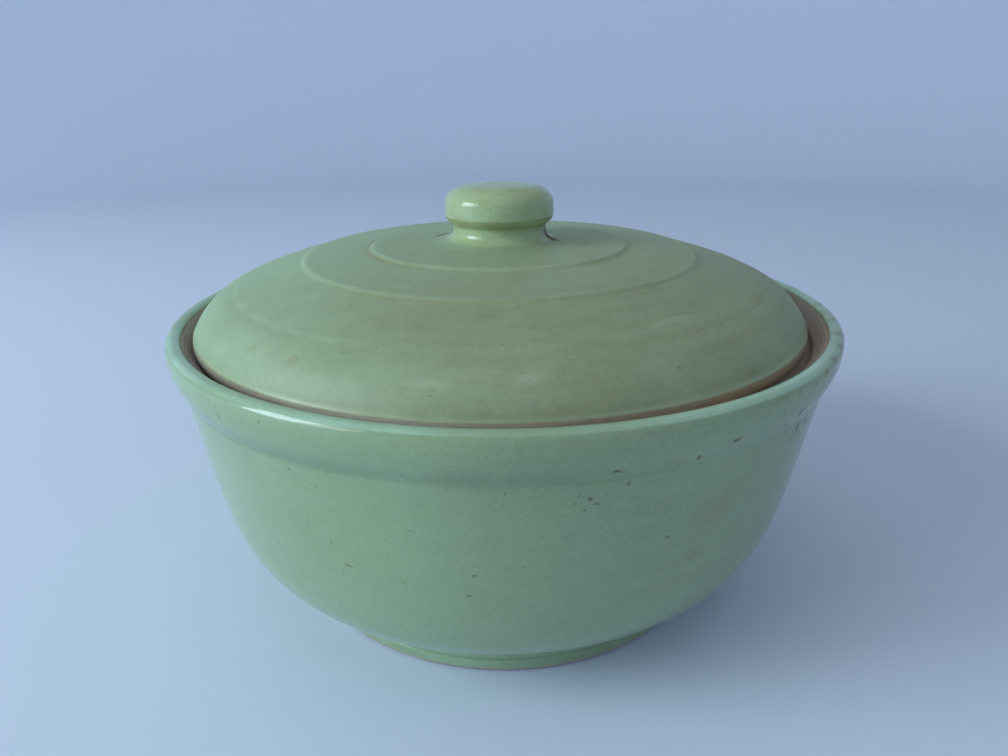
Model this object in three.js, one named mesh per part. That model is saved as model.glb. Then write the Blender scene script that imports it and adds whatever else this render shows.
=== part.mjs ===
// A covered stoneware bowl: a thrown bowl with a collar under its rim and a ledge inside it,
// a domed lid that rests on the ledge, and a round knob luted to the lid's crown.
// Millimetres, +Z up. The origin is the middle of the foot, on the table.
// Every piece is turned on a wheel, so each is a profile swept round its own axis.

import * as THREE from 'three';

// Bowl, outside
const rimRadius = 120;          // outside of the rim
const rimHeight = 106;          // top of the rim above the table
const collarHeight = 16.2;      // from the rim's top down to the crease below the collar
const collarStep = 4.2;         // how far the collar stands out from the body
const collarRound = 5.4;        // height of the rounding at the collar's lower edge
const collarLean = 0.4;         // how far the collar's face leans in towards that rounding
const creaseReach = 1.2;        // height over which the crease turns into the body
const creaseSink = 0.3;         // how far the crease lies inside the body's line
const bellyReach = 28.6;        // how far the body sweeps out above the foot
const bellyRise = 16.8;         // height over which it does so
const wallTaper = 9.4;          // how far the upper wall leans in below the collar
const taperDrop = 53;           // height over which it does so

// Bowl, foot
const footRadius = 79.2;        // foot ring, above its bevel
const footBevel = 0.7;          // bevel where it meets the table
const footHeight = 9.8;         // foot up to the line where the body starts
const footFlare = 0.6;          // how much wider the foot's band is at its groove
const footBand = 5.4;           // height of the band below the groove
const footGroove = 0.5;         // depth of the turned groove, and half its height
const footBead = 0.7;           // how far the bead above the groove swells out
const footRingWidth = 7;        // flat ring that the bowl stands on
const footRecess = 4.6;         // hollow turned out under the foot

// Bowl, inside
const bowlWall = 6.2;
const bowlFloor = 7.4;          // thickness of the floor over the recess
const lipThickness = 4.5;       // lip, from its outer to its inner edge
const lipOuterRound = 2.2;
const lipInnerRound = 1.3;
const coveWidth = 3.3;          // sloped wall between the lip and the ledge
const galleryDepth = 6;         // from the rim's top down to the ledge
const ledgeWidth = 6.4;         // ledge that carries the lid
const ledgeGrooveWidth = 1.9;   // groove turned into the ledge at its outer corner
const ledgeGrooveDepth = 1.4;
const ledgeNose = 2;            // rounded inner edge of the ledge
const ledgeThickness = 11;      // height of the thickened wall that the ledge grows from

// Lid
const lidPlay = 2.2;            // gap round the lid at the ledge
const lidOffCentre = 1.5;       // how far the lid lies off the bowl's axis, inside that gap
const seatGap = 0.3;            // clearance between the lid and the ledge
const lidEdgeHeight = 4.4;      // bare clay edge below the glaze
const lidEdgeRound = 1.5;       // rounding of its lower corner
const lidSeatWidth = 7.6;       // flat underside that rests on the ledge
const lidWall = 5.6;
const ringStep = 0.9;           // height of each small step on the lid
const ringStepWidth = 1.6;      // width of its rounded riser
const edgeSlopeWidth = 14.5;    // steep zone from the lid's edge to the first step
const edgeSlopeRise = 12.7;
const edgeSlopeBulge = 4;       // how far each zone's curve is drawn out from the straight slope
const middleSlopeWidth = 21.6;  // zone between the first and second steps
const middleSlopeRise = 6.6;
const middleSlopeBulge = 0.55;
const innerSlopeWidth = 23.0;   // zone between the second and third steps
const innerSlopeRise = 2.2;
const innerSlopeBulge = 0.2;
const crownRise = 0.4;          // rise of the lid's middle over its innermost step

// Knob, with heights above the lid's crown
const knobRadius = 20;
const knobHeight = 21.1;
const knobSpread = 26;          // radius to which its foot spreads on the lid
const neckRadius = 17.7;
const neckLow = 3.2;            // lower end of the neck's narrowest stretch
const neckHigh = 4.8;           // upper end of that stretch
const drumUnder = 6.9;          // middle of the drum's sloping underside
const drumUnderTurn = 1.1;      // how far that point lies inside the drum's side
const drumLow = 9.6;            // lower end of the drum's upright side
const drumHigh = 14.4;          // upper end of that side
const drumLean = 0.2;           // how far its upper end leans in
const drumShoulder = 3;         // height over which the side turns into the top
const knobTopRadius = 10.5;     // nearly flat middle of the top
const knobTopDrop = 0.7;        // how far its edge lies below the highest point
const knobTopReach = 5;         // width over which the top turns down
const jointGap = 0.3;           // slip joint between the knob and the lid

// Smoothness
const bowlSegments = 64;
const lidSegments = 64;
const knobSegments = 40;

const point = (radius, height) => new THREE.Vector2(radius, height);

// Points of a cubic curve, without its first one, which the profile already holds.
function curvePoints(start, control1, control2, end, steps) {
  return new THREE.CubicBezierCurve(start, control1, control2, end).getPoints(steps).slice(1);
}

// A quarter-like bend from start to end whose tangents meet at the corner.
function bendPoints(start, corner, end, steps) {
  return new THREE.QuadraticBezierCurve(start, corner, end).getPoints(steps).slice(1);
}

// The line parallel to a run of points, a wall's thickness to the left of its direction.
function offsetPoints(points, wall) {
  return points.map((here, i) => {
    const before = points[Math.max(i - 1, 0)];
    const after = points[Math.min(i + 1, points.length - 1)];
    const along = after.clone().sub(before).normalize();
    return point(here.x - along.y * wall, here.y + along.x * wall);
  });
}

// Sweeps a profile that starts and ends on the axis round +Z.
function turned(profile, segments) {
  const geometry = new THREE.LatheGeometry(profile, segments);
  geometry.rotateX(Math.PI / 2);
  return geometry;
}

function glaze(color, roughness) {
  return new THREE.MeshStandardMaterial({ color, roughness, metalness: 0 });
}

// Places that two pieces share
const ledgeHeight = rimHeight - galleryDepth;
const lipInnerRadius = rimRadius - lipThickness;
const ledgeOuterRadius = lipInnerRadius - coveWidth;
const ledgeInnerRadius = ledgeOuterRadius - ledgeWidth;
const lidRadius = ledgeOuterRadius - lidPlay;
const lidSeatHeight = ledgeHeight + seatGap;

// Foot ring, with its recess, band, groove and bead, from the axis outwards and up.
function footProfile() {
  const ringInner = footRadius - footBevel - footRingWidth;
  const grooveLow = point(footRadius + footFlare, footBand);
  const grooveHigh = point(grooveLow.x, footBand + 2 * footGroove);
  const footTop = point(grooveLow.x, footHeight);
  const beadMiddle = (grooveHigh.y + footTop.y) / 2;
  return [
    point(0, footRecess),
    point(ringInner - footRecess, footRecess),
    point(ringInner, 0),
    point(footRadius - footBevel, 0),
    point(footRadius, footBevel),
    grooveLow,
    point(grooveLow.x - footGroove, footBand + footGroove),
    grooveHigh,
    ...bendPoints(grooveHigh, point(grooveHigh.x + 2 * footBead, beadMiddle), footTop, 3),
  ];
}

// The body's sweep from the foot out to the crease under the collar.
function bodyProfile(footTop) {
  const shoulder = point(rimRadius - collarStep, rimHeight - collarHeight - creaseReach);
  return [footTop, ...curvePoints(
    footTop,
    point(footTop.x + bellyReach, footTop.y + bellyRise),
    point(shoulder.x - wallTaper, shoulder.y - taperDrop),
    shoulder,
    14,
  )];
}

// Crease, collar and lip.
function collarProfile() {
  const crease = point(rimRadius - collarStep - creaseSink, rimHeight - collarHeight);
  const face = point(rimRadius - collarLean, crease.y + collarRound);
  const lipOuter = point(rimRadius, rimHeight - lipOuterRound);
  const lipTop = point(rimRadius - lipOuterRound, rimHeight);
  const lipTopInner = point(lipInnerRadius + lipInnerRound, rimHeight);
  const lipInner = point(lipInnerRadius, rimHeight - lipInnerRound);
  return [
    crease,
    ...bendPoints(crease, point(face.x, crease.y + collarLean), face, 4),
    lipOuter,
    ...bendPoints(lipOuter, point(rimRadius, rimHeight), lipTop, 3),
    lipTopInner,
    ...bendPoints(lipTopInner, point(lipInnerRadius, rimHeight), lipInner, 2),
  ];
}

// Sloped wall, groove, ledge and its rounded nose.
function galleryProfile() {
  const lipInner = point(lipInnerRadius, rimHeight - lipInnerRound);
  const grooveBottom = point(ledgeOuterRadius - ledgeGrooveWidth / 2, ledgeHeight - ledgeGrooveDepth);
  const grooveEnd = point(ledgeOuterRadius - ledgeGrooveWidth, ledgeHeight);
  const noseTop = point(ledgeInnerRadius, ledgeHeight);
  const noseUnder = point(ledgeInnerRadius - ledgeNose, ledgeHeight - ledgeNose);
  return [
    ...bendPoints(lipInner, point(ledgeOuterRadius, ledgeHeight), grooveBottom, 4),
    grooveEnd,
    noseTop,
    ...bendPoints(noseTop, point(noseUnder.x, ledgeHeight), noseUnder, 2),
  ];
}

function bowlProfile() {
  const foot = footProfile();
  const body = bodyProfile(foot[foot.length - 1]);

  // Inner wall, parallel to the body, and the floor
  const floorHeight = footRecess + bowlFloor;
  const ledgeRoot = ledgeHeight - ledgeThickness;
  const inner = offsetPoints(body, bowlWall)
    .reverse()
    .filter((p) => p.y < ledgeRoot && p.y > floorHeight);
  const lowest = inner[inner.length - 1];
  const floorCorner = point(lowest.x - bowlWall, floorHeight);
  const floorStart = point(floorCorner.x - 2 * bowlWall, floorHeight);
  const floor = [...bendPoints(lowest, floorCorner, floorStart, 4), point(0, floorHeight)];
  return [...foot, ...body.slice(1), ...collarProfile(), ...galleryProfile(), ...inner, ...floor];
}

const lidZones = [
  { width: edgeSlopeWidth, rise: edgeSlopeRise, bulge: edgeSlopeBulge, steps: 6 },
  { width: middleSlopeWidth, rise: middleSlopeRise, bulge: middleSlopeBulge, steps: 3 },
  { width: innerSlopeWidth, rise: innerSlopeRise, bulge: innerSlopeBulge, steps: 3 },
];

// Corners of the lid's dome, from its edge inwards, before the steps are rounded.
function lidCorners() {
  const corners = [point(lidRadius, lidSeatHeight + lidEdgeHeight)];
  for (const zone of lidZones) {
    const from = corners[corners.length - 1];
    const foot = point(from.x - zone.width, from.y + zone.rise);
    const head = point(foot.x - ringStepWidth, foot.y + ringStep);
    corners.push(foot, head);
  }
  return corners;
}

const lidCrown = lidSeatHeight + lidEdgeHeight + crownRise
  + lidZones.reduce((sum, zone) => sum + zone.rise + ringStep, 0);

function lidProfile() {
  const corners = lidCorners();
  const dome = [corners[0]];
  lidZones.forEach((zone, i) => {
    const [from, foot, head] = corners.slice(2 * i, 2 * i + 3);
    const slope = foot.clone().sub(from).normalize();
    const drawn = point(slope.y, -slope.x).multiplyScalar(zone.bulge);
    const middle = from.clone().add(foot).divideScalar(2).add(drawn);
    dome.push(...bendPoints(from, middle, foot, zone.steps));
    dome.push(...bendPoints(foot, point((foot.x + head.x) / 2, head.y), head, 3));
  });
  dome.push(point(knobSpread, lidCrown), point(0, lidCrown));

  // Underside: a flat seat, then a hollow parallel to the dome
  const seatInner = lidRadius - lidSeatWidth;
  const spine = [corners[0], corners[1], corners[3], corners[5], point(0, lidCrown)];
  const hollow = offsetPoints(spine, lidWall).slice(1).reverse();
  hollow[0].x = 0;
  const under = new THREE.SplineCurve([...hollow, point(seatInner, lidSeatHeight)]).getPoints(14);
  under[0].x = 0;
  const roundStart = point(lidRadius - lidEdgeRound, lidSeatHeight);
  const roundEnd = point(lidRadius, lidSeatHeight + lidEdgeRound);
  const edge = [roundStart, ...bendPoints(roundStart, point(lidRadius, lidSeatHeight), roundEnd, 3)];
  return [...under, ...edge, ...dome];
}

// Heights in the knob's profile are measured from the lid's crown.
function knobProfile() {
  const base = point(knobSpread, jointGap);
  const flare = point((knobSpread + neckRadius) / 2, jointGap * 2);
  const neckFoot = point(neckRadius, neckLow / 2);
  const neckStart = point(neckRadius, neckLow);
  const neckEnd = point(neckRadius, neckHigh);
  const under = point(knobRadius - drumUnderTurn, drumUnder);
  const sideLow = point(knobRadius, drumLow);
  const sideHigh = point(knobRadius - drumLean, drumHigh);
  const topEdge = point(knobTopRadius, knobHeight - knobTopDrop);
  return [
    point(0, jointGap),
    base,
    ...curvePoints(base, flare, neckFoot, neckStart, 5),
    neckEnd,
    ...bendPoints(neckEnd, point(neckRadius, (neckHigh + drumUnder) / 2), under, 3),
    ...bendPoints(under, point(knobRadius, (drumUnder + drumLow) / 2), sideLow, 3),
    sideHigh,
    ...curvePoints(
      sideHigh,
      point(knobRadius - 2 * drumLean, drumHigh + drumShoulder),
      point(topEdge.x + knobTopReach, topEdge.y),
      topEdge,
      5,
    ),
    ...bendPoints(topEdge, point(topEdge.x / 2, knobHeight), point(0, knobHeight), 2),
  ];
}

const bowl = new THREE.Mesh(turned(bowlProfile(), bowlSegments), glaze(0x8fae8b, 0.22));
bowl.name = 'bowl';

const lid = new THREE.Mesh(turned(lidProfile(), lidSegments), glaze(0x98ae86, 0.4));
lid.name = 'lid';

const knob = new THREE.Mesh(turned(knobProfile(), knobSegments), glaze(0x9fbb85, 0.22));
knob.name = 'knob';
knob.position.z = lidCrown;

// The knob is part of the lid's group, and the group lies a little off the bowl's axis.
const cover = new THREE.Group();
cover.position.x = -lidOffCentre;
cover.add(lid, knob);

const coveredBowl = new THREE.Group();
coveredBowl.add(bowl, cover);

export default coveredBowl;
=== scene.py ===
"""A covered stoneware bowl in pale green glaze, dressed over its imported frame.

The frame gives the radius of the rim and of the lid, and the height of each piece. Profiles are written
in millimetres and turned round each piece's own axis, as the potter turned them.
"""

import bpy
import numpy as np
from mathutils import Euler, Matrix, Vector


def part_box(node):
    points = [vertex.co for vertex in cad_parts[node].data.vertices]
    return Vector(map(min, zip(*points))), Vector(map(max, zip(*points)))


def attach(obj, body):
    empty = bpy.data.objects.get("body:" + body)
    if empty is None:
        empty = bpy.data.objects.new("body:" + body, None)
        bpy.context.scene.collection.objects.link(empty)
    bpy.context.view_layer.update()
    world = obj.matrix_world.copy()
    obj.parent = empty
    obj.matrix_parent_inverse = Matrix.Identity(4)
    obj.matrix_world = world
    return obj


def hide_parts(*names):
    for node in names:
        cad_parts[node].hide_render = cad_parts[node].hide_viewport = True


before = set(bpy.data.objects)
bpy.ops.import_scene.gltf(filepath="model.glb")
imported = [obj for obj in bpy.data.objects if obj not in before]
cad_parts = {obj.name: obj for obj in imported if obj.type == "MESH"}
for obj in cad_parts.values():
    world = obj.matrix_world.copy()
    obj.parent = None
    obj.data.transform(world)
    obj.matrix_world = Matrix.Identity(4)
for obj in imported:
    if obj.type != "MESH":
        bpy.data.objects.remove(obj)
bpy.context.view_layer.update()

# The bowl. Buff stoneware thrown in one piece with its collar, lip and inner ledge, trimmed to a foot
# ring on the wheel, and dipped in a pale green opaque glaze. The ledge that carries the lid and the
# ring that the bowl stands on were wiped bare.
MM = 0.001
_, bowl_high = (np.array(corner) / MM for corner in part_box("bowl"))
box_margin = 0.02
rim_radius = bowl_high[0] - box_margin
rim_height = bowl_high[2]

# The collar, and the crease under it
collar_height = 15.8
collar_step = 4.1
collar_face_height = 101.8
collar_turn_height = 97.4
collar_swell = 1.0
crease_round = 0.7
crease_turn_lean = 0.12
crease_end_lean = 0.55

# The wall, from the foot's top to the crease, and the floor
belly_reach = 28.6
belly_rise = 16.8
wall_taper = 9.4
taper_drop = 53.0
bowl_wall = 6.2
bowl_floor = 7.4

# The foot, with a groove and a bead over the ring that the bowl stands on
foot_radius = 79.2
foot_bevel = 0.7
foot_edge_inset = 0.3
foot_edge_height = 0.9
foot_height = 9.8
foot_flare = 0.6
foot_band = 5.0
foot_groove = 0.5
foot_groove_rises = (-0.4, 0.1, 0.5, 0.9, 1.2)
foot_bead = 0.9
foot_bead_rise = 0.9
foot_ring_width = 7.0
foot_ring_bevel = 1.6
foot_ring_round = 0.8
foot_recess = 4.6
foot_recess_round = 2.0
foot_bare = 1.2
foot_undercut = 0.9
foot_glaze_step = 0.05
foot_glaze_gap = 0.1

# The lip, and the ledge inside it
lip_thickness = 5.0
lip_face_drop = 3.0
lip_crest = 2.4
lip_inner_drop = 1.6
lip_glaze_lap = 0.1
cove_width = 3.3
cove_end_rise = 0.3
gallery_depth = 6.0
ledge_width = 6.4
ledge_groove_inset = 1.0
ledge_groove_width = 3.6
ledge_groove_depth = 2.0
ledge_groove_turn = 0.3
ledge_nose = 2.0
ledge_thickness = 11.0

# What the wheel and the turning tool left: rings, a throwing ridge, and walls a little out of round
tool_pitch = 1.3
tool_depth = 0.07
throwing_pitch = 7.5
throwing_calm = 6.0
bowl_throwing = 0.01
bowl_sway = 0.65
sway_height = 0.36 * rim_height
oval = 0.05
oval_turn = 1.1
lobes = 0.04
lobe_twist = 60.0
full_wander_radius = 60.0
bowl_rounds = 300

# Points of the lip and the corners that its curves turn at, inwards and downwards from the rim's corner
lip_facet = ((0.2, 1.75), (0.42, 1.35))
lip_top_inner = (4.4, 0.35)
lip_turns = ((0, 2.6), (1.3, 0.1), (3.5, 0), (4.95, 0.7))


def line(start, end, spacing):
    """Points on a straight line from start to end, about spacing apart, without the first."""
    start, end = np.array(start, float), np.array(end, float)
    count = max(1, int(np.ceil(np.linalg.norm(end - start) / spacing)))
    share = np.linspace(0, 1, count + 1)[1:, None]
    return start + (end - start) * share


def bend(start, corner, end, count):
    """Points of the quadratic curve whose end tangents meet at corner, without the first."""
    start, corner, end = (np.array(p, float) for p in (start, corner, end))
    t = np.linspace(0, 1, count + 1)[1:, None]
    return (1 - t) ** 2 * start + 2 * t * (1 - t) * corner + t**2 * end


def sweep(start, leave, arrive, end, count):
    """Points of the cubic curve that leaves start towards leave and reaches end from arrive."""
    start, leave, arrive, end = (np.array(p, float) for p in (start, leave, arrive, end))
    t = np.linspace(0, 1, count + 1)[1:, None]
    return (1 - t) ** 3 * start + 3 * t * (1 - t) ** 2 * leave + 3 * t**2 * (1 - t) * arrive + t**3 * end


def inside_of(points, wall):
    """The line that runs parallel to a profile, one wall's thickness to its left."""
    along = np.gradient(points, axis=0)
    along /= np.linalg.norm(along, axis=1)[:, None]
    return points + wall * np.stack([-along[:, 1], along[:, 0]], 1)


def glaze_and_clay(points, is_bare):
    """Arc length at each profile point, its distance from the glaze's edge (negative on bare clay), and
    how thick the glaze lies: it pools in hollows (up to 1) and draws off ridges (down to -1). The last
    is the turning of the profile per millimetre, averaged over the reach that glaze flows."""
    step = np.linalg.norm(np.diff(points, axis=0), axis=1)
    arc = np.concatenate([[0], np.cumsum(step)])
    change = np.flatnonzero(np.diff(is_bare.astype(int)))
    edges = (arc[change] + arc[change + 1]) / 2
    far_from_edge = 50.0
    reach = np.abs(arc[:, None] - edges).min(1) if len(edges) else np.full(len(arc), far_from_edge)
    signed = np.where(is_bare, -reach, reach)
    direction = np.unwrap(np.arctan2(*np.diff(points, axis=0).T[::-1]))
    middle = (arc[1:] + arc[:-1]) / 2
    spacing = 0.1
    flow = 1.0
    pool_gain = 3.0
    half = int(4 * flow / spacing)
    even = np.arange(0, arc[-1], spacing)
    kernel = np.exp(-0.5 * (np.arange(-half, half + 1) * spacing / flow) ** 2)
    angle = np.pad(np.interp(even, middle, direction), half, mode="edge")
    smooth = np.convolve(angle, kernel / kernel.sum(), mode="valid")
    pool = np.clip(-pool_gain * np.interp(arc, even, np.gradient(smooth, even)), -1, 1)
    return arc, signed, pool


def turned(name, points, is_bare, bright, pool, rounds, throwing, centre=(0.0, 0.0), sway=0.0):
    """A profile swept round a piece's axis: grid point (i, j) is profile point i at angle 2 pi j / rounds,
    at (radius sin, -radius cos, height). A throwing ridge winds up the wall, one pitch to a turn, the
    radius shrinks by up to 0.18 mm as an oval with three lobes, and the axis bows left by sway."""
    arc, edge, _ = glaze_and_clay(points, is_bare)
    angle = 2 * np.pi * np.arange(rounds) / rounds
    radius = np.repeat(points[1:-1, 0][:, None], rounds, 1)
    height = np.repeat(points[1:-1, 1][:, None], rounds, 1)
    along = np.gradient(points, axis=0)[1:-1]
    along /= np.linalg.norm(along, axis=1)[:, None]
    distance = arc[1:-1, None]
    calm = np.clip(edge[1:-1, None] / throwing_calm, 0, 1)
    calm = calm * np.clip(1 - 3 * np.abs(pool[1:-1, None]), 0, 1)
    ridge = throwing * calm * (np.cos(2 * np.pi * distance / throwing_pitch + angle) - 1)
    wander = oval * (np.cos(2 * angle + oval_turn) - 1)
    wander = wander + lobes * (np.cos(3 * angle + distance / lobe_twist) - 1)
    radius += ridge * along[:, 1][:, None] + wander * np.clip(radius / full_wander_radius, 0, 1)
    height -= ridge * along[:, 0][:, None]
    bow = sway * (1 - ((points[:, 1] - sway_height) / (rim_height - sway_height)) ** 2)
    grid = np.stack([radius * np.sin(angle) - bow[1:-1, None], -radius * np.cos(angle), height], 2)
    poles = np.array([[-bow[0], 0, points[0, 1]], [-bow[-1], 0, points[-1, 1]]])
    vertices = (np.concatenate([grid.reshape(-1, 3), poles]) + (*centre, 0)) * MM
    rows = len(points) - 2
    here = np.arange(rounds)
    after = (here + 1) % rounds
    start = np.arange(rows - 1)[:, None] * rounds
    first, beside = (start + here).ravel(), (start + after).ravel()
    quads = np.stack([first, beside, beside + rounds, first + rounds], 1)
    low_pole, high_pole, last = rows * rounds, rows * rounds + 1, (rows - 1) * rounds
    low_fan = np.stack([after, here, np.full(rounds, low_pole)], 1)
    high_fan = np.stack([here + last, after + last, np.full(rounds, high_pole)], 1)
    mesh = bpy.data.meshes.new(name)
    mesh.from_pydata(vertices, [], quads.tolist() + low_fan.tolist() + high_fan.tolist())
    mesh.shade_smooth()
    for label, values in (("glaze_edge", edge), ("glaze_pool_and_painted_light", pool), ("bright_glaze", bright)):
        per_vertex = np.concatenate([np.repeat(values[1:-1], rounds), values[[0, -1]]]).astype(np.float32)
        mesh.attributes.new(label, "FLOAT", "POINT").data.foreach_set("value", per_vertex)
    wheel_drum = 9.0
    wheel = np.zeros((len(vertices), 3), np.float32)
    wheel[:-2, 0] = np.tile(wheel_drum * np.sin(angle), rows)
    wheel[:-2, 1] = np.tile(wheel_drum * np.cos(angle), rows)
    wheel[:, 2] = np.concatenate([np.repeat(arc[1:-1], rounds), arc[[0, -1]]])
    mesh.attributes.new("wheel", "FLOAT_VECTOR", "POINT").data.foreach_set("vector", wheel.ravel())
    piece = bpy.data.objects.new(name, mesh)
    bpy.context.scene.collection.objects.link(piece)
    return piece


def join(stretches):
    """One profile out of (finish, points) stretches, and where it is bare clay."""
    points = np.concatenate([np.atleast_2d(p) for _, p in stretches])
    is_bare = np.concatenate([np.full(len(np.atleast_2d(p)), finish == "bare") for finish, p in stretches])
    return points, is_bare


ring_outer = foot_radius - foot_bevel
ring_inner = ring_outer - foot_ring_width
recess_edge = (ring_inner - foot_recess, foot_recess)
recess_start = (recess_edge[0] - foot_recess_round, foot_recess)
ring_slope = (ring_inner - foot_ring_bevel, foot_ring_bevel)
ring_start = (ring_inner + foot_ring_round, 0)
ring_end = (ring_outer - foot_undercut, 0)
undercut_end = (foot_radius - foot_edge_inset, foot_bevel)
underside = [
    ("glazed", [(0, foot_recess)]),
    ("glazed", line((0, foot_recess), recess_start, 8)),
    ("glazed", bend(recess_start, recess_edge, ring_slope, 6)),
    ("bare", bend(ring_slope, (ring_inner, 0), ring_start, 4)),
    ("bare", line(ring_start, ring_end, 1.5)),
    ("bare", line(ring_end, undercut_end, 0.4)),
    ("bare", bend(undercut_end, (foot_radius, foot_edge_height), (foot_radius, foot_bare), 3)),
]
band_radius = foot_radius + foot_flare
foot_top = (band_radius, foot_height)
band_start = (foot_radius + foot_glaze_step, foot_bare + foot_glaze_gap)
groove_heights = (foot_band + rise for rise in foot_groove_rises)
groove_low, turn_in, bottom_height, turn_out, groove_high = groove_heights
groove_bottom = (band_radius - foot_groove, bottom_height)
bead_start = (band_radius, groove_high)
bead_turn = (band_radius + 2 * foot_bead, groove_high + foot_bead_rise)
foot = [
    ("glazed", line(band_start, (band_radius, groove_low), 0.5)),
    ("glazed", bend((band_radius, groove_low), (band_radius, turn_in), groove_bottom, 4)),
    ("glazed", bend(groove_bottom, (band_radius, turn_out), bead_start, 4)),
    ("glazed", bend(bead_start, bead_turn, foot_top, 10)),
]
shoulder = (rim_radius - collar_step, rim_height - collar_height - crease_round)
body = np.concatenate([
    [foot_top],
    sweep(foot_top, (foot_top[0] + belly_reach, foot_height + belly_rise),
          (shoulder[0] - wall_taper, shoulder[1] - taper_drop), shoulder, 76),
])
crease_turn = (shoulder[0] + crease_turn_lean * crease_round, shoulder[1] + crease_round)
crease_end = (shoulder[0] + crease_end_lean * crease_round, shoulder[1] + 2 * crease_round)
collar_face = (rim_radius, collar_face_height)


def lip_at(drop_in, drop_down):
    """A point of the lip, measured inwards and downwards from the rim's outer top corner."""
    return np.array((rim_radius - drop_in, rim_height - drop_down))


lip_inner_radius = rim_radius - lip_thickness
lip_outer = lip_at(0, lip_face_drop)
facet_low, facet_high = (lip_at(*corner) for corner in lip_facet)
lip_top = lip_at(lip_crest, 0)
lip_slope = lip_at(*lip_top_inner)
lip_inner = lip_at(lip_thickness, lip_inner_drop)
face_turn, facet_turn, crest_turn, inner_turn = (lip_at(*corner) for corner in lip_turns)
collar = [
    ("glazed", bend(shoulder, crease_turn, crease_end, 6)),
    ("glazed", bend(crease_end, (rim_radius, collar_turn_height), collar_face, 16)),
    ("glazed", line(collar_face, lip_outer, 0.8)),
    ("glazed", bend(lip_outer, face_turn, facet_low, 5)),
    ("glazed", line(facet_low, facet_high, 0.3)),
    ("glazed", bend(facet_high, facet_turn, lip_top, 9)),
    ("glazed", bend(lip_top, crest_turn, lip_slope, 6)),
    ("glazed", bend(lip_slope, inner_turn, lip_inner, 6)),
]
ledge_height = rim_height - gallery_depth
ledge_outer_radius = lip_inner_radius - cove_width
ledge_inner_radius = ledge_outer_radius - ledge_width
groove_start = np.array((ledge_outer_radius - ledge_groove_inset, ledge_height + cove_end_rise))
groove_floor = (groove_start[0] - ledge_groove_width / 2, ledge_height - ledge_groove_depth)
groove_end = (groove_start[0] - ledge_groove_width, ledge_height)
cove_lean = (groove_start - lip_inner) / np.linalg.norm(groove_start - lip_inner)
glaze_end = lip_inner + cove_lean * lip_glaze_lap
gallery = np.concatenate([
    [glaze_end],
    line(glaze_end, groove_start, 0.3),
    bend(groove_start, (groove_start[0], groove_floor[1]), groove_floor, 5),
    bend(groove_floor, (groove_end[0] + ledge_groove_turn, groove_floor[1]), groove_end, 5),
    line(groove_end, (ledge_inner_radius, ledge_height), 0.3),
])
gallery_arc = np.concatenate([[0], np.cumsum(np.linalg.norm(np.diff(gallery, axis=0), axis=1))])
gallery[:, 1] -= tool_depth * (1 + np.sin(2 * np.pi * gallery_arc / tool_pitch))
nose_under = (ledge_inner_radius - ledge_nose, ledge_height - ledge_nose)
nose = bend((ledge_inner_radius, ledge_height), (nose_under[0], ledge_height), nose_under, 6)
floor_height = foot_recess + bowl_floor
inner = inside_of(body, bowl_wall)[::-1]
inner = inner[(inner[:, 1] < ledge_height - ledge_thickness) & (inner[:, 1] > floor_height)][::2]
lowest = inner[-1]
floor_corner = (lowest[0] - bowl_wall, floor_height)
floor_start = (floor_corner[0] - 2 * bowl_wall, floor_height)
inside = [
    ("bare", nose),
    ("glazed", line(nose_under, inner[0], 2.5)),
    ("glazed", inner[1:]),
    ("glazed", bend(lowest, floor_corner, floor_start, 8)),
    ("glazed", line(floor_start, (0, floor_height), 5)),
]
bowl_points, bowl_bare = join([
    *underside, *foot, ("glazed", body[1:]), *collar, ("bare", gallery), *inside,
])

# How thick the bowl's glaze lies, from -1 (thin) to 1 (pooled): a darker roll under the collar, which is
# painted shade in the crease as well as pooled glaze, thin and pale over the lip, which is partly a
# painted reflection on the lip's top, and on the foot thin with a pool in the groove
crease_pool_and_shade = 0.6
crease_shade_gap = 1.0
crease_shade_fade = 4.0
lip_thin_and_reflection = -0.8
lip_pool_outside = 1.3
lip_pool_inside = lip_inner_drop + 0.6
lip_pool_fade = 0.4
lip_pool_width = lip_thickness + 0.5
band_pool = -0.25
groove_pool = 1.1
groove_pool_reach = 0.4
bowl_radii, bowl_heights = bowl_points.T
under_collar = (bowl_radii > shoulder[0]) & (bowl_heights > shoulder[1])
# Painted shade: the crease under the collar is darkened further, laid on as extra pooling
crease_shade_share = np.clip((collar_turn_height - crease_shade_gap - bowl_heights) / crease_shade_fade, 0, 1)
bowl_pool_and_painted_light = glaze_and_clay(bowl_points, bowl_bare)[2]
bowl_pool_and_painted_light = np.maximum(bowl_pool_and_painted_light, crease_pool_and_shade * crease_shade_share * under_collar)
# Over the lip the glaze thins to the pale bluish thin colour, which is partly a painted reflection on the
# lip's top
lip_reach = np.where(bowl_radii < rim_radius - lip_crest, lip_pool_inside, lip_pool_outside)
on_lip = np.clip((bowl_heights - rim_height + lip_reach) / lip_pool_fade, 0, 1)
on_lip = on_lip * (bowl_radii > rim_radius - lip_pool_width)
bowl_pool_and_painted_light += on_lip * (lip_thin_and_reflection - bowl_pool_and_painted_light)
on_foot = (bowl_radii > foot_radius) & (bowl_heights < foot_height)
in_groove = np.exp(-((bowl_heights - bottom_height) / groove_pool_reach) ** 2)
bowl_pool_and_painted_light += on_foot * (groove_pool * in_groove + band_pool - bowl_pool_and_painted_light)
bowl_bright = np.ones(len(bowl_points))
bowl = turned("stoneware_bowl", bowl_points, bowl_bare, bowl_bright, bowl_pool_and_painted_light, bowl_rounds,
              bowl_throwing, sway=bowl_sway)


def linear(colour):
    """An sRGB hex colour as the linear RGBA that sockets hold."""
    value = np.array([int(colour[i:i + 2], 16) for i in (1, 3, 5)]) / 255
    value = np.where(value <= 0.04045, value / 12.92, ((value + 0.055) / 1.055) ** 2.4)
    return (*value, 1.0)


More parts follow.
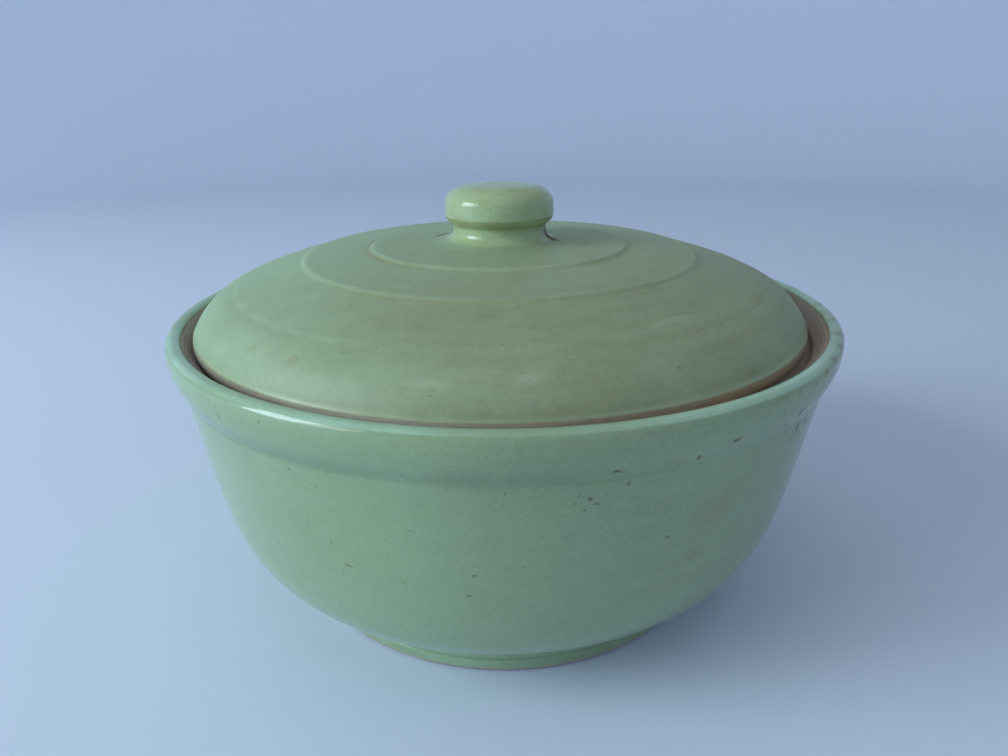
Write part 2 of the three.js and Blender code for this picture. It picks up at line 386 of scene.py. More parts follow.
def add(tree, kind, inputs=(), output=0, **settings):
    """Adds one node with its settings. Its inputs, by name or in order, are values or outputs to link."""
    node = tree.nodes.new(kind)
    for setting, value in settings.items():
        setattr(node, setting, value)
    for socket, value in inputs.items() if isinstance(inputs, dict) else enumerate(inputs):
        if isinstance(value, bpy.types.NodeSocket):
            tree.links.new(value, node.inputs[socket])
        else:
            node.inputs[socket].default_value = value
    return node.outputs[output] if node.outputs else node


# Sizes of the finish's patterns and heights of its relief, in millimetres, and how matt the clay is
cloud_size = 60
mottle_size = 8
ring_spacing = 3.5
grain_size = 1.2
speck_spacing = 6
ragged_size = 1.4
ragged_reach = 2.2
tool_ring_spacing = 0.8
grog_size = 1.1
wipe_size = 3
skin_size = 5
skin_relief = 0.05
grain_relief = 0.006
speck_relief = -0.03
iron_relief = -0.05
tool_relief = 0.1
grog_relief = 0.12
glaze_relief = 0.14
clay_roughness = 0.88

# Colour and strength of each kind of mark, and the colours of iron specks and of grog
mark_kinds = {
    "stain": ("#8d7f4a", 0.25), "pale": ("#c2d3ae", 0.2), "wear": ("#7f7a4a", 0.85),
    "fleck": ("#5f5730", 0.4), "iron": ("#5f4722", 0.8), "knob_dark_patch": ("#644a2c", 0.9),
}
speck_colour = "#57553c"
grog_colour = "#b3a58c"

# The nodes that the finish is made of, and the sockets by which two colours are mixed
noise, remap, mix = "ShaderNodeTexNoise", "ShaderNodeMapRange", "ShaderNodeMix"
math, vectors, measured = "ShaderNodeMath", "ShaderNodeVectorMath", "ShaderNodeAttribute"
soft = {"interpolation_type": "SMOOTHSTEP"}
blend = {"output": 2, "data_type": "RGBA"}
SHARE, UNDER, OVER = 0, 6, 7


def mark_shares(tree, spot, marks):
    """How strongly each kind of mark shows at a spot: the most that any one mark of that kind gives, full
    in its middle and faded out just past its edge, which is ragged. Each mark is
    (kind, centre, azimuth, (width, depth, height), lean), in millimetres and degrees."""
    warp = add(tree, noise, {"Vector": spot, "Scale": 1 / ragged_size, "Detail": 2}, "Color")
    centred = add(tree, vectors, (warp, (-0.5,) * 3), operation="ADD")
    ragged_spot = add(tree, vectors, (centred, (ragged_reach,) * 3, spot), operation="MULTIPLY_ADD")
    shares = dict.fromkeys(mark_kinds, 0.0)
    for kind, centre, azimuth, size, lean in marks:
        turn = (0, np.radians(lean), np.radians(azimuth))
        half = tuple(side / 2 for side in size)
        within = add(tree, "ShaderNodeMapping", (ragged_spot, centre, turn, half), vector_type="TEXTURE")
        away = add(tree, vectors, (within,), "Value", operation="LENGTH")
        share = add(tree, remap, (away, 1.15, 0.3, 0, 1), **soft)
        shares[kind] = add(tree, math, (shares[kind], share), operation="MAXIMUM")
    return shares


def clay_body(tree, paint, spot, wheel, toasted):
    """Colour and relief of bare clay, which is matt: rings cut by the turning tool, pale grains of grog,
    and a side that the kiln toasted browner."""
    tool_rings = add(tree, noise, {"Vector": wheel, "Scale": 1 / tool_ring_spacing, "Detail": 2})
    grog = add(tree, noise, {"Vector": spot, "Scale": 1 / grog_size, "Detail": 3, "Roughness": 0.7})
    clay = add(tree, mix, {SHARE: toasted, UNDER: paint["clay"], OVER: paint["toasted_clay"]}, **blend)
    ring_share = add(tree, remap, (tool_rings, 0.35, 0.65, 0.45, 0), **soft)
    clay = add(tree, mix, {SHARE: ring_share, UNDER: clay, OVER: paint["clay_ring"]}, **blend)
    grog_share = add(tree, remap, (grog, 0.55, 0.72, 0, 0.5), **soft)
    clay = add(tree, mix, {SHARE: grog_share, UNDER: clay, OVER: linear(grog_colour)}, **blend)
    relief = add(tree, math, (tool_rings, tool_relief), operation="MULTIPLY")
    relief = add(tree, math, (grog, grog_relief, relief), operation="MULTIPLY_ADD")
    return clay, relief


def glazed_stoneware(name, colours, haze_share, haze_way, edge_reach, streak, dull_roughness,
                     bright_roughness, marks):
    """Opaque pale green glaze over buff stoneware. The glaze is glassy where it is bright and half matt
    where it is dull and hazed with brown. It pools darker in hollows, thins paler on ridges and holds
    iron specks; the pooling also carries painted shade under the bowl's collar and under the knob's drum,
    and the paler thinning on the bowl's lip is partly a painted reflection. Where the clay was wiped bare
    it is matt, brown and finely ringed. Haze grows along haze_way by that much per millimetre, the warm
    line at the wiped edge is edge_reach wide, and streak is how far the wheel's rings thicken and thin
    bright glaze."""
    material = bpy.data.materials.new(name)
    material.use_nodes = True
    tree = material.node_tree
    tree.nodes.clear()
    paint = {part: linear(colour) for part, colour in colours.items()}
    place = add(tree, "ShaderNodeTexCoord", output="Object")
    spot = add(tree, vectors, (place, (1 / MM,) * 3), operation="MULTIPLY")
    wheel = add(tree, measured, output="Vector", attribute_name="wheel")
    # The pooling attribute also carries painted shade under the collar and under the knob's drum
    pool = add(tree, measured, output="Fac", attribute_name="glaze_pool_and_painted_light")
    edge = add(tree, measured, output="Fac", attribute_name="glaze_edge")
    bright = add(tree, measured, output="Fac", attribute_name="bright_glaze")

    # Clouds of glaze a palm wide and a fingertip wide, rings left by the wheel, and the glaze's grain
    drift = add(tree, noise, {"Vector": spot, "Scale": 1 / cloud_size, "Detail": 3})
    mottle = add(tree, noise, {"Vector": spot, "Scale": 1 / mottle_size, "Detail": 5, "Roughness": 0.7})
    rings = add(tree, noise, {"Vector": wheel, "Scale": 1 / ring_spacing, "Detail": 3, "Roughness": 0.6})
    grain = add(tree, noise, {"Vector": spot, "Scale": 1 / grain_size, "Detail": 2, "Roughness": 0.6})

    # Haze: brown bloom that the kiln left on one side, broken up by the rings
    aside = add(tree, vectors, (spot, haze_way), "Value", operation="DOT_PRODUCT")
    bloom = add(tree, math, (aside, drift), operation="ADD")
    bloom = add(tree, remap, (bloom, -0.1, 1.25, 0, 1), **soft)
    streaked = add(tree, remap, (rings, 0.3, 0.7, 0.78, 1.12), **soft)
    hazy = add(tree, math, (bloom, streaked), operation="MULTIPLY")
    dulled = add(tree, math, (bright, -0.75, 1.0), operation="MULTIPLY_ADD")
    hazy = add(tree, math, (hazy, dulled), operation="MULTIPLY")
    hazy = add(tree, math, (hazy, haze_share), operation="MULTIPLY")
    glaze = add(tree, mix, {SHARE: bright, UNDER: paint["dull"], OVER: paint["bright"]}, **blend)
    glaze = add(tree, mix, {SHARE: hazy, UNDER: glaze, OVER: paint["haze"]}, **blend)

    # Thickness: hollows and heavy clouds against ridges and thin ones
    cloudy = add(tree, remap, (drift, 0.3, 0.7, -0.3, 0.3), **soft)
    streaky = add(tree, remap, (rings, 0.3, 0.7, -0.5 * streak, 0.5 * streak))
    thick = add(tree, math, (streaky, bright, pool), operation="MULTIPLY_ADD")
    thick = add(tree, math, (thick, cloudy), operation="ADD")
    pooled = add(tree, remap, (thick, 0.1, 0.95, 0, 0.8), **soft)
    thinned = add(tree, remap, (thick, -0.25, -1.0, 0, 0.6), **soft)
    glaze = add(tree, mix, {SHARE: pooled, UNDER: glaze, OVER: paint["pooled"]}, **blend)
    glaze = add(tree, mix, {SHARE: thinned, UNDER: glaze, OVER: paint["thin"]}, **blend)

    # Shade: mottling, which is stronger where the glaze is dull, with the rings and the grain
    coarse = add(tree, math, (bright, -0.045, 0.08), operation="MULTIPLY_ADD")
    lightest = add(tree, math, (coarse, 1.0), operation="ADD")
    darkest = add(tree, math, (1.0, coarse), operation="SUBTRACT")
    mottled = add(tree, remap, (mottle, 0.28, 0.72, darkest, lightest))
    ringed = add(tree, remap, (rings, 0.2, 0.8, 0.975, 1.025), **soft)
    grained = add(tree, remap, (grain, 0.25, 0.75, 0.95, 1.05), **soft)
    shade = add(tree, math, (mottled, ringed), operation="MULTIPLY")
    shade = add(tree, math, (shade, grained), operation="MULTIPLY")
    grey = add(tree, "ShaderNodeCombineColor", (shade, shade, shade))
    glaze = add(tree, mix, {SHARE: 1.0, UNDER: glaze, OVER: grey}, blend_type="MULTIPLY", **blend)

    # Iron specks, in about two of every five cells. Each fades out half a millimetre from its middle
    cells = add(tree, "ShaderNodeTexVoronoi", {"Vector": spot, "Scale": 1 / speck_spacing}, "Distance")
    chance = add(tree, "ShaderNodeSeparateColor", (cells.node.outputs["Color"],))
    dot = add(tree, remap, (cells, 0.08, 0.03, 0, 1), **soft)
    chosen = add(tree, remap, (chance, 0.55, 0.6, 0, 1), **soft)
    speck = add(tree, math, (dot, chosen), operation="MULTIPLY")
    speckled = add(tree, math, (speck, 0.5), operation="MULTIPLY")
    glaze = add(tree, mix, {SHARE: speckled, UNDER: glaze, OVER: linear(speck_colour)}, **blend)

    # Marks, each a ragged patch at its own place: specks, stains and wear of use and firing, faint patches
    # that darken the lip's top on the left, dark brown patches by the knob, and a pale patch on the lid
    # that is a painted reflection
    shares = mark_shares(tree, spot, marks)
    for kind, (mark_colour, strength) in mark_kinds.items():
        share = add(tree, math, (shares[kind], strength), operation="MULTIPLY")
        glaze = add(tree, mix, {SHARE: share, UNDER: glaze, OVER: linear(mark_colour)}, **blend)

    toasted = add(tree, remap, (aside, 0.25, 0.7, 0, 1), **soft)
    clay, clay_relief = clay_body(tree, paint, spot, wheel, toasted)

    # The wiped edge between glaze and clay, ragged by a sixth of a millimetre, with a thin warm line
    wipe = add(tree, noise, {"Vector": spot, "Scale": 1 / wipe_size, "Detail": 3, "Roughness": 0.6})
    wipe = add(tree, remap, (wipe, 0.25, 0.75, -0.16, 0.16), **soft)
    ragged = add(tree, math, (edge, wipe), operation="ADD")
    covered = add(tree, remap, (ragged, -0.1, 0.12, 0, 1), **soft)
    warm_line = add(tree, remap, (ragged, edge_reach, 0.05, 0, 0.8), **soft)
    glaze = add(tree, mix, {SHARE: warm_line, UNDER: glaze, OVER: paint["edge"]}, **blend)
    surface = add(tree, mix, {SHARE: covered, UNDER: clay, OVER: glaze}, **blend)

    # Roughness: glassy to half matt glaze, patchy with the mottling, rough at rust and at the dark brown
    # patches by the knob, matt clay
    rough = add(tree, remap, (bright, 0, 1, dull_roughness, bright_roughness))
    patchy = add(tree, remap, (mottle, 0.3, 0.7, -0.03, 0.05), **soft)
    rough = add(tree, math, (rough, patchy), operation="ADD")
    rough = add(tree, math, (shares["iron"], 0.3, rough), operation="MULTIPLY_ADD")
    rough = add(tree, math, (shares["knob_dark_patch"], 0.6, rough), operation="MULTIPLY_ADD")
    rough = add(tree, remap, (covered, 0, 1, clay_roughness, rough))

    # Relief: the glaze's skin and grain, pits at the specks and rust, its step at the edge, and the clay
    skin = add(tree, noise, {"Vector": spot, "Scale": 1 / skin_size, "Detail": 2})
    skin = add(tree, math, (skin, skin_relief), operation="MULTIPLY")
    skin = add(tree, math, (grain, grain_relief, skin), operation="MULTIPLY_ADD")
    skin = add(tree, math, (speck, speck_relief, skin), operation="MULTIPLY_ADD")
    skin = add(tree, math, (shares["iron"], iron_relief, skin), operation="MULTIPLY_ADD")
    relief = add(tree, remap, (covered, 0, 1, clay_relief, skin))
    relief = add(tree, math, (covered, glaze_relief, relief), operation="MULTIPLY_ADD")
    bump = add(tree, "ShaderNodeBump", {"Strength": 1.0, "Distance": MM, "Height": relief})
    shader = add(tree, "ShaderNodeBsdfPrincipled",
                 {"Base Color": surface, "Roughness": rough, "IOR": 1.5, "Normal": bump})
    add(tree, "ShaderNodeOutputMaterial", {"Surface": shader})
    return material


collar_middle = 0.5 * (crease_end[1] + collar_face[1])
collar_heights = (crease_end[1], collar_middle, collar_face[1], rim_height)
outside_heights = np.append(body[:, 1], collar_heights)
outside_radii = np.append(body[:, 0], (crease_end[0], rim_radius - collar_swell, rim_radius, rim_radius))


def on_wall(kind, azimuth, height, width, tall, lean=0.0, depth=8.0):
    """A mark on the bowl's outside, at an azimuth from the camera's side and a height."""
    turn = np.radians(azimuth)
    radius = np.interp(height, outside_heights, outside_radii)
    centre = (radius * np.sin(turn), -radius * np.cos(turn), height)
    return kind, centre, azimuth, (width, depth, tall), lean


bowl_marks = [
    # Rust spots right of the middle
    on_wall("iron", 10.5, 84.5, 1.9, 1.5),
    on_wall("iron", 11.6, 83, 2.6, 0.9, 30),
    on_wall("iron", 10, 81.2, 1.4, 1.0),
    on_wall("iron", 9.2, 86, 1.0, 0.8),
    on_wall("fleck", 12.6, 85.6, 1.4, 1.0),
    # Spots and stains further right, below the collar
    on_wall("iron", 13.5, 93, 2.8, 1.4),
    on_wall("iron", 15.5, 88, 1.5, 1.2),
    on_wall("iron", 25, 92.5, 2.0, 1.7),
    on_wall("iron", 30.5, 95.5, 3.2, 1.6),
    on_wall("stain", 32, 96, 9, 1.6, -10),
    on_wall("stain", 21.5, 93, 9, 2.0),
    # Streaks and drips on the right
    on_wall("fleck", 39, 99, 1.4, 5),
    on_wall("iron", 42, 93, 1.0, 2.6),
    on_wall("iron", 41.8, 93.1, 1.8, 2.6),
    on_wall("iron", 45, 94.8, 2.2, 4.5),
    on_wall("iron", 48.3, 87.3, 2.2, 4.5),
    on_wall("fleck", 47.4, 83.6, 2.2, 5),
    on_wall("fleck", 50, 84, 2.2, 5),
    on_wall("iron", 51.6, 87, 1.8, 4),
    on_wall("iron", 53, 58, 1.0, 2.2),
    # Broad stains and dots low on the right
    on_wall("stain", 31, 70, 18, 15),
    on_wall("stain", 29, 57, 9, 7),
    on_wall("iron", 23, 67, 2.0, 1.0),
    on_wall("stain", 24, 46, 4, 1.4, -15),
    on_wall("stain", 17, 40, 3.4, 1.4, -10),
    on_wall("stain", 12.5, 75, 2, 2),
    on_wall("stain", 49.5, 45.5, 7, 3, -20),
    # The left half of the wall
    on_wall("stain", -46, 66.5, 1.6, 4, 15),
    on_wall("iron", -30, 87.5, 1.4, 1.2),
    on_wall("stain", -29.5, 69, 0.9, 15, 18),
    on_wall("iron", -23.5, 58, 2.2, 1.0, 30),
    on_wall("stain", -15, 56, 3, 1.4, 40),
    on_wall("iron", -5.5, 53, 1.6, 1.2),
    on_wall("iron", -4.5, 60.5, 1.4, 1.0),
    # Flecks in the collar's glaze
    on_wall("fleck", -41, 99, 1.6, 5),
    on_wall("fleck", -32, 102, 1.4, 1.6),
    on_wall("fleck", 36.4, 103, 1.6, 1.4),
    on_wall("fleck", 42, 103.6, 2.4, 1.2),
    on_wall("fleck", 47, 103.0, 2.6, 1.5),
    on_wall("fleck", 50, 101, 1.3, 4),
    on_wall("fleck", 54, 102, 1.3, 4.4),
    on_wall("fleck", 58, 100.5, 1.4, 4),
    # The lip on the right: stained, worn and flecked
    on_wall("stain", 38, 103.6, 9, 3),
    on_wall("wear", 51, 104.0, 5, 2.0),
    on_wall("wear", 56, 104.8, 7, 3.0),
    on_wall("wear", 62, 104.8, 8, 4.0),
    on_wall("wear", 68, 105.2, 10, 4.6, depth=11),
    on_wall("wear", 76, 105.5, 10, 4.0, depth=11),
    on_wall("wear", 86, 105.6, 10, 3.4, depth=10),
    on_wall("wear", 98, 105.8, 10, 2.4, depth=9),
    on_wall("fleck", 62, 102, 2.4, 2.0),
    on_wall("fleck", 56, 98.5, 1.4, 3.0),
    # The lip on the left: three faint brown patches that darken its top, and flecks
    on_wall("stain", -60, 105.8, 16, 3, depth=10),
    on_wall("stain", -76, 105.8, 18, 3, depth=10),
    on_wall("stain", -94, 105.8, 22, 3, depth=10),
    on_wall("fleck", -70, 105.2, 4, 1.6),
    on_wall("fleck", -64, 104.8, 3, 1.4),
    on_wall("fleck", -60, 102.6, 2, 1.4),
]
# The pooled colour is also painted shade in the crease under the collar, and the pale bluish thin colour
# is partly a painted reflection on the lip's top
bowl_colours = {
    "bright": "#98b58b", "dull": "#95ad85", "haze": "#858c67", "pooled": "#819a74", "thin": "#b2d9bc",
    "edge": "#b5a88c", "clay": "#aea69a", "toasted_clay": "#a3917c", "clay_ring": "#8e847a",
}
bowl.data.materials.append(glazed_stoneware(
    "celadon_glazed_stoneware_bowl", bowl_colours, haze_share=2.4, haze_way=(0.004, -0.002, 0.0),
    edge_reach=0.7, streak=0.0, dull_roughness=0.3, bright_roughness=0.13, marks=bowl_marks))
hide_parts("bowl")
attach(bowl, "bowl")

# The lid. A thrown disc of the same clay, turned to a low dome with three small steps, glazed on top and
# beneath. Its edge and the flat ring that it rests on are bare. Its glaze came out duller than the
# bowl's, half matt and bloomed with brown towards the front and right.
lid_low, lid_high = (np.array(corner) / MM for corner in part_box("lid"))
lid_centre = tuple((lid_low[:2] + lid_high[:2]) / 2)
lid_radius = (lid_high[0] - lid_low[0]) / 2 - box_margin
lid_seat = lid_low[2]
lid_crown = lid_high[2]
lid_edge_height = 3.8
lid_edge_round = 2.2
lid_glaze_lap = 0.5
lid_seat_width = 7.6
lid_wall = 5.6
edge_bead = 0.08
bead_middle = 0.6
bead_spread = 0.45

# The three steps on top, and the reach that the knob hides
ring_step = 0.9
ring_step_width = 1.6
riser_gap = 0.3
riser_foot_lead = 0.35
riser_head_lead = 0.6
hidden_reach = 24.0
lid_throwing = 0.01
lid_rounds = 300

# From the edge to the crown: width, rise and bulge of the sloping face below each step, and the
# reach over which the glaze softens that step
lid_zones = ((14.5, 13.3, 4.2), (21.6, 6.6, 0.55), (23.0, 2.2, 0.2))
ring_softness = (0.55, 0.35, 0.25)

clay_top = lid_seat + lid_edge_height - lid_glaze_lap
corners = [np.array((lid_radius, lid_seat + lid_edge_height))]
faces = []
for width, rise, bulge in lid_zones:
    start = corners[-1]
    end = start + (-width, rise)
    slope = (end - start) / np.linalg.norm(end - start)
    outward = np.array((slope[1], -slope[0]))
    faces.append(bend(start, (start + end) / 2 + outward * bulge, end, 60))
    corners += [end, end + (-ring_step_width, ring_step)]
faces.append(line(corners[-1], (hidden_reach, lid_crown), 0.5))
dome = []
riser_end = corners[0]
steps = zip(faces, faces[1:], corners[1::2], corners[2::2], ring_softness)
for face, following, end, head, softness in steps:
    face = face[(face[:, 0] < riser_end[0] - riser_gap) & (face[:, 0] > end[0] + softness)]
    riser_start = face[-1]
    onward = (riser_start - face[-2]) / np.linalg.norm(riser_start - face[-2])
    leave = riser_start + onward * (softness + riser_foot_lead)
    following = following[following[:, 0] < head[0] - softness]
    riser_end = following[0]
    back = (following[0] - following[1]) / np.linalg.norm(following[0] - following[1])
    arrive = riser_end + back * (softness + riser_head_lead)
    dome += [("glazed", face[::2]), ("glazed", sweep(riser_start, leave, arrive, riser_end, 12))]
dome.append(("glazed", line(riser_end, (hidden_reach, lid_crown), 2)))
dome.append(("glazed", line((hidden_reach, lid_crown), (0, lid_crown), 6)))


def softened(knots, spacing, reach):
    """A run of straight stretches rounded off: resampled evenly and averaged over a reach, ends kept."""
    arc = np.concatenate([[0], np.cumsum(np.linalg.norm(np.diff(knots, axis=0), axis=1))])
    even = np.linspace(0, arc[-1], int(arc[-1] / spacing) + 1)
    points = np.stack([np.interp(even, arc, knots[:, axis]) for axis in (0, 1)], 1)
    half = int(3 * reach / spacing)
    before = 2 * points[0] - points[half:0:-1]
    beyond = 2 * points[-1] - points[-2:-half - 2:-1]
    padded = np.concatenate([before, points, beyond])
    kernel = np.exp(-0.5 * (np.arange(-half, half + 1) * spacing / reach) ** 2)
    kernel /= kernel.sum()
    return np.stack([np.convolve(padded[:, axis], kernel, mode="valid") for axis in (0, 1)], 1)


spine = np.array([corners[0], corners[1], corners[3], corners[5], (0, lid_crown)])
hollow = inside_of(spine, lid_wall)[1:][::-1]
hollow[0, 0] = 0
seat_inner = (lid_radius - lid_seat_width, lid_seat)
under = softened(np.concatenate([hollow, [seat_inner]]), spacing=2.0, reach=4.0)
bare_under = 3
lid_points, lid_bare = join([
    ("glazed", under[:-bare_under]),
    ("bare", under[-bare_under:]),
    ("bare", line(seat_inner, (lid_radius - lid_edge_round, lid_seat), 1)),
    ("bare", bend((lid_radius - lid_edge_round, lid_seat), (lid_radius, lid_seat),
                  (lid_radius, lid_seat + lid_edge_round), 8)),
    ("bare", line((lid_radius, lid_seat + lid_edge_round), (lid_radius, clay_top), 0.4)),
    *dome,
])
_, lid_edge, lid_pool = glaze_and_clay(lid_points, lid_bare)
is_top = (lid_points[:, 1] > clay_top) & (np.arange(len(lid_points)) > len(under))

# The glaze rolled up in a bead above the bare edge. It is bright there, and dull on the rest of the top
bead_bright = 0.75
bead_bright_fade = 0.5
underside_bright = 0.6
lid_pool_gain = 1.5
rolled = np.where(is_top, np.exp(-((lid_edge - bead_middle) / bead_spread) ** 2), 0)
past_bead = np.clip(lid_edge - bead_middle, 0, None)
top_bright = bead_bright * np.exp(-(past_bead / bead_bright_fade) ** 2)
lid_bright = np.where(is_top, top_bright, underside_bright)
lid_points[:, 0] += edge_bead * rolled * (lid_edge > 0)
lid_pool = np.clip(lid_pool_gain * lid_pool, -1, 1)
lid = turned("stoneware_lid", lid_points, lid_bare, lid_bright, lid_pool, lid_rounds, lid_throwing,
             lid_centre)
lid_mark_height = 8.0


def on_lid(kind, azimuth, radius, width, deep):
    """A mark on the lid's top, at an azimuth from the camera's side and a radius."""
    turn = np.radians(azimuth)
    top = lid_points[is_top][::-1]
    height = np.interp(radius, top[:, 0], top[:, 1])
    centre = (lid_centre[0] + radius * np.sin(turn), lid_centre[1] - radius * np.cos(turn), height)
    return kind, centre, azimuth, (width, deep, lid_mark_height), 0.0


def by_knob(aside, behind, above, azimuth, size):
    """A dark brown matt patch where the knob meets the crown, placed from the middle of the crown."""
    centre = (lid_centre[0] + aside, lid_centre[1] + behind, lid_crown + above)
    return "knob_dark_patch", centre, azimuth, size, 0.0


lid_marks = [
    on_lid("stain", -43, 103, 4, 3.5),
    on_lid("stain", -33, 103, 5, 4),
    on_lid("fleck", -25, 98.5, 1.4, 1.6),
    on_lid("fleck", -43.5, 91, 1.4, 1.6),
    on_lid("stain", -59, 48, 14, 3),
    on_lid("fleck", 18, 78, 1.6, 1.6),
    on_lid("stain", 17, 67, 3, 3),
    on_lid("fleck", 4, 75, 1.2, 1.6),
    on_lid("fleck", 27, 104, 1.4, 2.0),
    on_lid("fleck", 42, 96, 2.2, 1.6),
    on_lid("stain", 61, 94, 14, 8),
    # A painted reflection: a pale patch on the right of the lid's top
    on_lid("pale", 34, 89, 22, 3),
    on_lid("pale", 4, 103, 9, 4),
    on_lid("pale", -10, 104, 16, 3),
    on_lid("stain", 75, 32, 12, 6),
    on_lid("stain", 34, 113, 5, 4),
    on_lid("stain", -50, 38, 9, 2),
]
knob_marks = [
    by_knob(18.2, -4.5, 2.8, 76, (7.5, 9.0, 11.0)),
    by_knob(-22.0, 12.0, 0.0, -118, (12.0, 2.4, 4.0)),
]
# The olive pooled colour is also painted shade and a painted reflection of the lid under the knob's drum
lid_colours = {
    "bright": "#aabe8c", "dull": "#9db991", "haze": "#8b8b63", "pooled": "#989d68", "thin": "#b4bd98",
    "edge": "#b5ad8e", "clay": "#aca893", "toasted_clay": "#b3936e", "clay_ring": "#948a74",
}
cover_glaze = glazed_stoneware(
    "celadon_glazed_stoneware_cover", lid_colours, haze_share=0.75, haze_way=(0.004, -0.0035, 0.0),
    edge_reach=0.6, streak=0.9, dull_roughness=0.52, bright_roughness=0.12,
    marks=lid_marks + knob_marks)
lid.data.materials.append(cover_glaze)
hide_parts("lid")
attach(lid, "lid")

# The knob. A round drum on a short spreading neck, thrown apart and luted to the crown with slip, so
# that the glaze runs over the joint in one skin. Here the glaze is thick, glassy and yellower.
_, knob_high = (np.array(corner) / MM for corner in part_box("knob"))
knob_height = knob_high[2] - lid_crown
knob_spread = 29.0
knob_radius = 20.0
neck_radius = 17.0
neck_height = 5.0
neck_turn = 1.5
flare_start = (20.5, 0.1)
flare_rise = 3.4
drum_under = (17.4, 6.7)
drum_corner = (19.7, 8.3)
drum_low = 9.9
drum_high = 14.4
drum_lean = 0.2
drum_shoulder = 3.0
knob_top_radius = 10.5
knob_top_drop = 0.7
knob_top_reach = 5.0
knob_rounds = 200

# The root, hidden in the crown: its depth, and points past the flare as (reach beyond it, depth)
root_depth = 0.5
root_edge = ((3.0, 0.4), (4.0, 0.2), (1.5, 0.04))


def on_crown(radius, height):
    """A point of the knob's profile, at a height above the lid's crown."""
    return np.array([radius, lid_crown + height])


root_low, root_rim, root_turn = (on_crown(knob_spread + reach, -depth) for reach, depth in root_edge)
flare_end = on_crown(knob_spread, 0)
neck = on_crown(neck_radius, neck_height)
under_drum = on_crown(*drum_under)
side_low = on_crown(knob_radius, drum_low)
side_high = on_crown(knob_radius - drum_lean, drum_high)
top_edge = on_crown(knob_top_radius, knob_height - knob_top_drop)
knob_points, knob_bare = join([
    ("glazed", [on_crown(0, -root_depth), on_crown(hidden_reach, -root_depth), root_low, root_rim]),
    ("glazed", bend(root_rim, root_turn, flare_end, 6)),
    ("glazed", sweep(flare_end, on_crown(*flare_start), on_crown(neck_radius, neck_height - flare_rise),
                     neck, 30)),
    ("glazed", bend(neck, on_crown(neck_radius, neck_height + neck_turn), under_drum, 8)),
    ("glazed", bend(under_drum, on_crown(*drum_corner), side_low, 14)),
    ("glazed", line(side_low, side_high, 0.7)),
    ("glazed", sweep(side_high, on_crown(knob_radius - 2 * drum_lean, drum_high + drum_shoulder),
                     top_edge + (knob_top_reach, 0), top_edge, 24)),
    ("glazed", bend(top_edge, on_crown(knob_top_radius / 2, knob_height), on_crown(0, knob_height), 8)),
])

# The glaze is bright on the knob and dulls outwards over the flare. It is darkened in a thin line just
# below the drum's side and, less, under the drum, where the darkening is painted shade on the underside
# that faces down
flare_bright_radius = 20.3
flare_bright_fade = 1.5
drum_line_height = 9.2
drum_line_width = 0.4
drum_line_darkening = 0.85
under_drum_height = 7.6
under_drum_reach = 1.6
under_drum_fade = 1.3
under_drum_painted_shade = 0.4
knob_reach = knob_points[:, 0]
knob_rise = knob_points[:, 1] - lid_crown
flare_bright = np.clip((flare_bright_radius - knob_reach) / flare_bright_fade, 0, 1)
knob_bright = np.where(knob_rise > neck_height, 1, flare_bright)
line_below_drum = np.exp(-((knob_rise - drum_line_height) / drum_line_width) ** 2)
# Painted shade under the drum, where its underside faces down
shade_below_drum = np.clip(under_drum_reach - np.abs(knob_rise - under_drum_height) / under_drum_fade, 0, 1)
knob_line_and_painted_shade = np.maximum(drum_line_darkening * line_below_drum, under_drum_painted_shade * shade_below_drum)
knob = turned("stoneware_knob", knob_points, knob_bare, knob_bright, knob_line_and_painted_shade, knob_rounds,
              lid_throwing, lid_centre)
knob.data.materials.append(cover_glaze)
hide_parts("knob")
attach(knob, "lid")

# The stage. A plain sweep of pale matt paper that rises behind the bowl on every side, a window-like
# light from the left with a dimmer pane beside it, a soft light overhead, and the camera at the
# photograph's viewing angle.
flat_reach = 1.4
sweep_round = 0.5
sweep_top = 1.3
sweep_rounds = 96

# The sweep's profile, a flat stretch, a quarter round and a wall, turned round the upright axis
turn = np.linspace(0, np.pi / 2, 17)
sweep_radius = np.append(flat_reach + sweep_round * np.sin(turn), flat_reach + sweep_round)
sweep_height = np.append(sweep_round * (1 - np.cos(turn)), sweep_top)
around = 2 * np.pi * np.arange(sweep_rounds) / sweep_rounds
sweep_grid = np.stack([
    np.outer(sweep_radius, np.cos(around)),
    np.outer(sweep_radius, np.sin(around)),
    np.repeat(sweep_height[:, None], sweep_rounds, 1),
], 2)
first = (np.arange(len(sweep_radius) - 1)[:, None] * sweep_rounds + np.arange(sweep_rounds)).ravel()
beside = np.where(first % sweep_rounds == sweep_rounds - 1, first + 1 - sweep_rounds, first + 1)
sweep_faces = np.stack([beside, first, first + sweep_rounds, beside + sweep_rounds], 1).tolist()
floor_mesh = bpy.data.meshes.new("pale_sweep")
floor_mesh.from_pydata(sweep_grid.reshape(-1, 3), [], [list(range(sweep_rounds)), *sweep_faces])
floor_mesh.shade_smooth()
floor = bpy.data.objects.new("pale_sweep", floor_mesh)
bpy.context.scene.collection.objects.link(floor)
floor_paint = bpy.data.materials.new("pale_matt_paper")
floor_paint.use_nodes = True
floor_shader = floor_paint.node_tree.nodes["Principled BSDF"]
floor_shader.inputs["Base Color"].default_value = linear("#d8e3f2")
floor_shader.inputs["Roughness"].default_value = 0.9
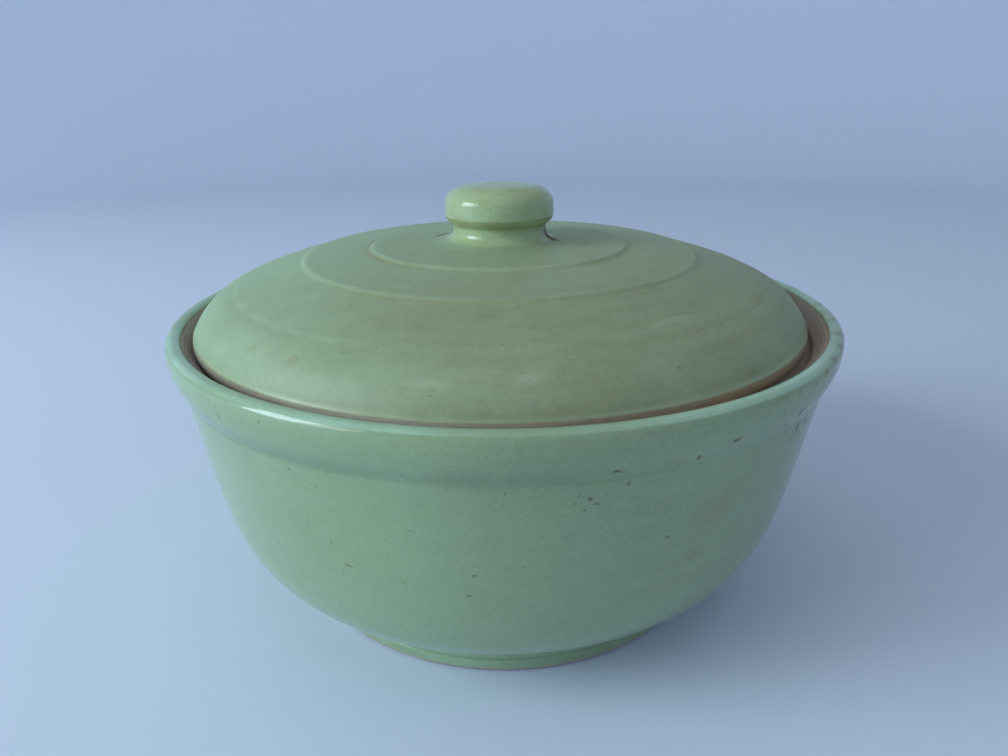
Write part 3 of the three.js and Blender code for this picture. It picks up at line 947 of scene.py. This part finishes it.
floor_mesh.materials.append(floor_paint)

sky_light = 0.38
world = bpy.data.worlds.new("studio")
bpy.context.scene.world = world
world.use_nodes = True
world.node_tree.nodes["Background"].inputs["Color"].default_value = linear("#e7f0ff")
world.node_tree.nodes["Background"].inputs["Strength"].default_value = sky_light
lit_height = 0.07


def softbox(name, azimuth, elevation, distance, width, height, power, colour):
    """A rectangular light that faces the bowl's middle, at an azimuth from the camera's side (negative
    is left) and an elevation above the table."""
    lamp = bpy.data.lights.new(name, "AREA")
    lamp.shape = "RECTANGLE"
    lamp.size = width
    lamp.size_y = height
    lamp.energy = power
    lamp.color = linear(colour)[:3]
    turn, lift = np.radians(azimuth), np.radians(elevation)
    middle = Vector((0, 0, lit_height))
    away = Vector((np.sin(turn) * np.cos(lift), -np.cos(turn) * np.cos(lift), np.sin(lift)))
    holder = bpy.data.objects.new(name, lamp)
    holder.location = middle + away * distance
    holder.rotation_euler = away.to_track_quat("Z", "Y").to_euler()
    bpy.context.scene.collection.objects.link(holder)


softbox("window", azimuth=-74, elevation=24, distance=1.7, width=0.6, height=0.84,
        power=16.6, colour="#dcefff")
softbox("window_side", azimuth=-56, elevation=24, distance=1.7, width=0.53, height=0.76,
        power=4.8, colour="#e6f2f6")
softbox("ceiling", azimuth=-20, elevation=75, distance=1.3, width=1.4, height=1.2,
        power=1.1, colour="#e9efff")

photo_width = 1008
focal_px = 757
camera_place = (-0.38, -280.08, 180.96)
camera_pitch = 20.77
camera_roll = -0.57
camera_data = bpy.data.cameras.new("camera")
camera_data.lens = camera_data.sensor_width * focal_px / photo_width
camera = bpy.data.objects.new("camera", camera_data)
camera.location = Vector(camera_place) * MM
pitched = Euler((np.radians(90 - camera_pitch), 0, 0)).to_matrix()
rolled_over = Euler((0, 0, np.radians(camera_roll))).to_matrix()
camera.rotation_euler = (pitched @ rolled_over).to_euler()
bpy.context.scene.collection.objects.link(camera)
bpy.context.scene.camera = camera
bpy.context.scene.view_settings.view_transform = "Standard"
